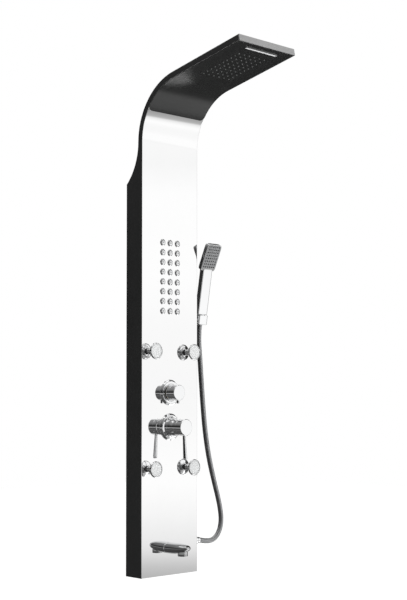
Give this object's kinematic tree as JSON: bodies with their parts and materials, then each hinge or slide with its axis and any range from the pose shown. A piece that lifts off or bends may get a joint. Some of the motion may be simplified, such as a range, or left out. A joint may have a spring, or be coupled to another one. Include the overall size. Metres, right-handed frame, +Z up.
{
  "type": "shower panel column",
  "caption": "Wall-hung shower panel: mirror front bending into a rain head with waterfall slot, body jets, diverter, mixer lever, tub spout and a hand shower on a metal hose",
  "frame": {"origin": "on the wall plane, midway between the two screw holes of the upper wall bracket", "axes": "+Z up the column, +Y into the wall, +X to the right of a person who faces the panel; the front faces -Y"},
  "size_m": [0.3331, 0.4284, 1.3652],
  "materials": {
    "black_paint": "satin black powder coat",
    "polished_front": "mirror-polished stainless sheet",
    "brushed_lip": "brushed along its length",
    "soft_nozzles": "soft grey silicone",
    "chrome": "polished chrome plate",
    "chromed_plastic": "chrome-plated moulding",
    "pale_face": "pale grey moulding",
    "grey_face": "mid grey moulding",
    "moulded_plastic": "black moulding",
    "valve_brass": "machined brass",
    "metal_hose": "wound metal strip",
    "water_pipe": "pale flexible pipe",
    "zinc_steel": "zinc-plated steel"
  },
  "bodies": {
    "column": {"body_jet_base_1": "chrome", "body_jet_base_2": "chrome", "body_jet_base_3": "chrome", "body_jet_base_4": "chrome", "body_jet_nuts": "valve_brass", "diverter_escutcheon": "chrome", "diverter_valve": "valve_brass", "front_fascia": "polished_front", "handset_holder": "chrome", "hanger_rails": "zinc_steel", "head_end_cap": "brushed_lip", "head_faceplate": "black_paint", "head_screws": "chrome", "hose_nut": "chrome", "hose_outlet": "chrome", "housing_shell": "black_paint", "jet_pipe_left": "water_pipe", "jet_pipe_right": "water_pipe", "mini_jet_bezels": "chrome", "mini_jet_manifold": "moulded_plastic", "mini_jet_nozzles": "soft_nozzles", "mixer_escutcheon": "chrome", "mixer_valve": "valve_brass", "nozzle_mat": "soft_nozzles", "pipe_handset": "water_pipe", "pipe_mini_jets": "water_pipe", "pipe_mixed": "water_pipe", "pipe_rain": "water_pipe", "pipe_spout": "water_pipe", "pipe_waterfall": "water_pipe", "rain_chamber": "moulded_plastic", "shower_hose": "metal_hose", "spout_aerator": "chrome", "spout_body": "chrome", "spout_nut": "valve_brass", "wall_bracket_lower": "zinc_steel", "wall_bracket_upper": "zinc_steel", "waterfall_outlet": "chrome"},
    "jet_ball_1": {"body_jet_ball_1": "moulded_plastic"},
    "jet_head_1": {"body_jet_head_1": "chrome", "body_jet_face_1": "pale_face"},
    "jet_ball_2": {"body_jet_ball_2": "moulded_plastic"},
    "jet_head_2": {"body_jet_head_2": "chrome", "body_jet_face_2": "pale_face"},
    "jet_ball_3": {"body_jet_ball_3": "moulded_plastic"},
    "jet_head_3": {"body_jet_head_3": "chrome", "body_jet_face_3": "pale_face"},
    "jet_ball_4": {"body_jet_ball_4": "moulded_plastic"},
    "jet_head_4": {"body_jet_head_4": "chrome", "body_jet_face_4": "pale_face"},
    "diverter": {"diverter_spindle": "valve_brass", "diverter_knob": "chrome"},
    "mixer_core": {"mixer_cartridge": "moulded_plastic", "mixer_dome": "chrome"},
    "mixer_handle": {"mixer_stem": "valve_brass", "mixer_knob": "chrome", "mixer_lever": "chrome"},
    "handset": {"handset_body": "chromed_plastic", "handset_face": "grey_face", "hose_cone_nut": "chrome"}
  },
  "joints": [
    {"name": "jet_1_pan", "type": "hinge", "parent": "column", "child": "jet_ball_1", "pos_m": [-0.0685, -0.076, -0.353], "axis": [0, 0, 1], "range_deg": [-15, 15]},
    {"name": "jet_1_tilt", "type": "hinge", "parent": "jet_ball_1", "child": "jet_head_1", "pos_m": [-0.0685, -0.076, -0.353], "axis": [1, 0, 0], "range_deg": [-15, 15]},
    {"name": "jet_2_pan", "type": "hinge", "parent": "column", "child": "jet_ball_2", "pos_m": [0.0685, -0.076, -0.353], "axis": [0, 0, 1], "range_deg": [-15, 15]},
    {"name": "jet_2_tilt", "type": "hinge", "parent": "jet_ball_2", "child": "jet_head_2", "pos_m": [0.0685, -0.076, -0.353], "axis": [1, 0, 0], "range_deg": [-15, 15]},
    {"name": "jet_3_pan", "type": "hinge", "parent": "column", "child": "jet_ball_3", "pos_m": [-0.0685, -0.076, -0.665], "axis": [0, 0, 1], "range_deg": [-15, 15]},
    {"name": "jet_3_tilt", "type": "hinge", "parent": "jet_ball_3", "child": "jet_head_3", "pos_m": [-0.0685, -0.076, -0.665], "axis": [1, 0, 0], "range_deg": [-15, 15]},
    {"name": "jet_4_pan", "type": "hinge", "parent": "column", "child": "jet_ball_4", "pos_m": [0.0685, -0.076, -0.665], "axis": [0, 0, 1], "range_deg": [-15, 15]},
    {"name": "jet_4_tilt", "type": "hinge", "parent": "jet_ball_4", "child": "jet_head_4", "pos_m": [0.0685, -0.076, -0.665], "axis": [1, 0, 0], "range_deg": [-15, 15]},
    {"name": "diverter_turn", "type": "hinge", "parent": "column", "child": "diverter", "pos_m": [0, -0.083, -0.463], "axis": [0, -1, 0], "range_deg": [-72, 72]},
    {"name": "mixer_temperature", "type": "hinge", "parent": "column", "child": "mixer_core", "pos_m": [0, -0.085, -0.555], "axis": [0, -1, 0], "range_deg": [-45, 45]},
    {"name": "mixer_flow", "type": "hinge", "parent": "mixer_core", "child": "mixer_handle", "pos_m": [0, -0.085, -0.555], "axis": [-1, 0, 0], "range_deg": [0, 20]},
    {"name": "handset_lift", "type": "slide", "parent": "column", "child": "handset", "axis": [0, -0.1736, 0.9848], "range_m": [0, 0.06], "deforming": ["shower_hose"]}
  ]
}
